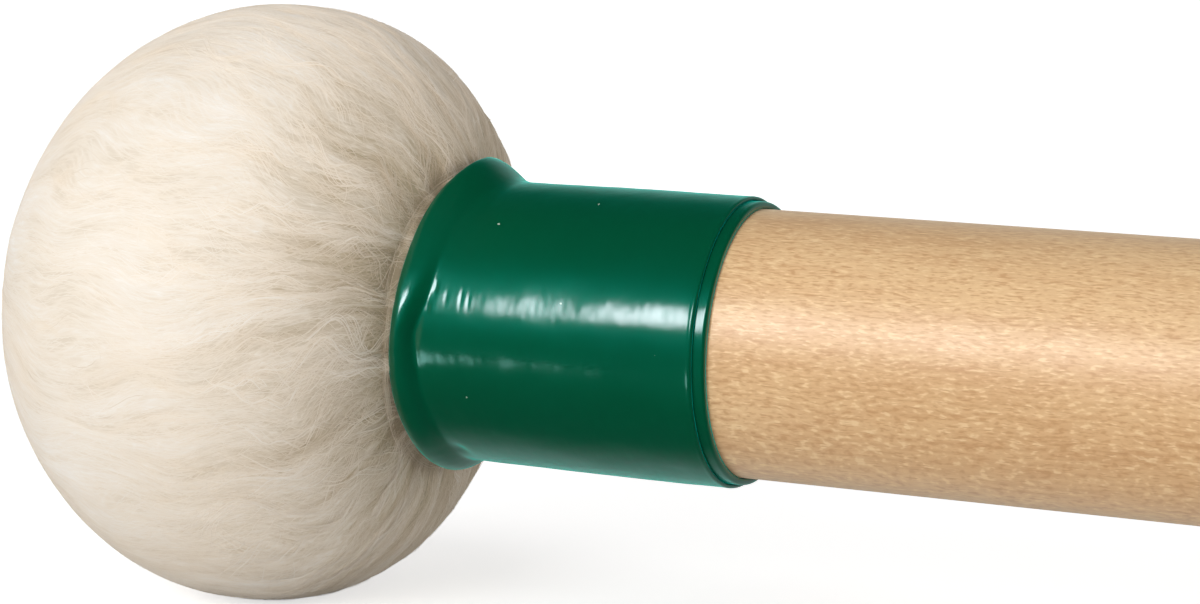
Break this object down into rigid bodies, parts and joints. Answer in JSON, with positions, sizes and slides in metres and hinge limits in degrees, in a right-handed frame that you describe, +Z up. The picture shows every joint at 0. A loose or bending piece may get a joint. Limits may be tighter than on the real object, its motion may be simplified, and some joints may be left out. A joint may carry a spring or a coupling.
{
  "type": "timpani mallet",
  "caption": "Timpani mallet: gathered fleece ball head over a felt-lined wooden core, shrunk green plastic collar with a rolled lip, straight round maple handle.",
  "frame": {"origin": "On the surface that the mallet lies on, under the middle of its length and on its line of symmetry", "axes": "+X along the mallet from its head to the butt of its handle, +Z up. The mallet lies at rest on the widest ring of its head and on the lower edge of its butt, so its own axis leans 1.78 degrees, with the butt lower"},
  "size_m": [0.368, 0.0376, 0.0375],
  "materials": {
    "maple": "satin",
    "core_wood": "matte",
    "steel": "satin",
    "felt": "matte",
    "wool": "matte",
    "linen": "matte",
    "green_plastic": "gloss"
  },
  "bodies": {
    "root": {"handle": "maple", "head_core": "core_wood", "core_washer": "steel", "core_screw": "steel", "front_felt_pad": "felt", "felt_liner": "felt", "fleece_cover": "wool", "gathering_thread": "linen", "neck_binding": "linen", "inner_sleeve": "green_plastic", "outer_sleeve": "green_plastic"}
  },
  "joints": []
}
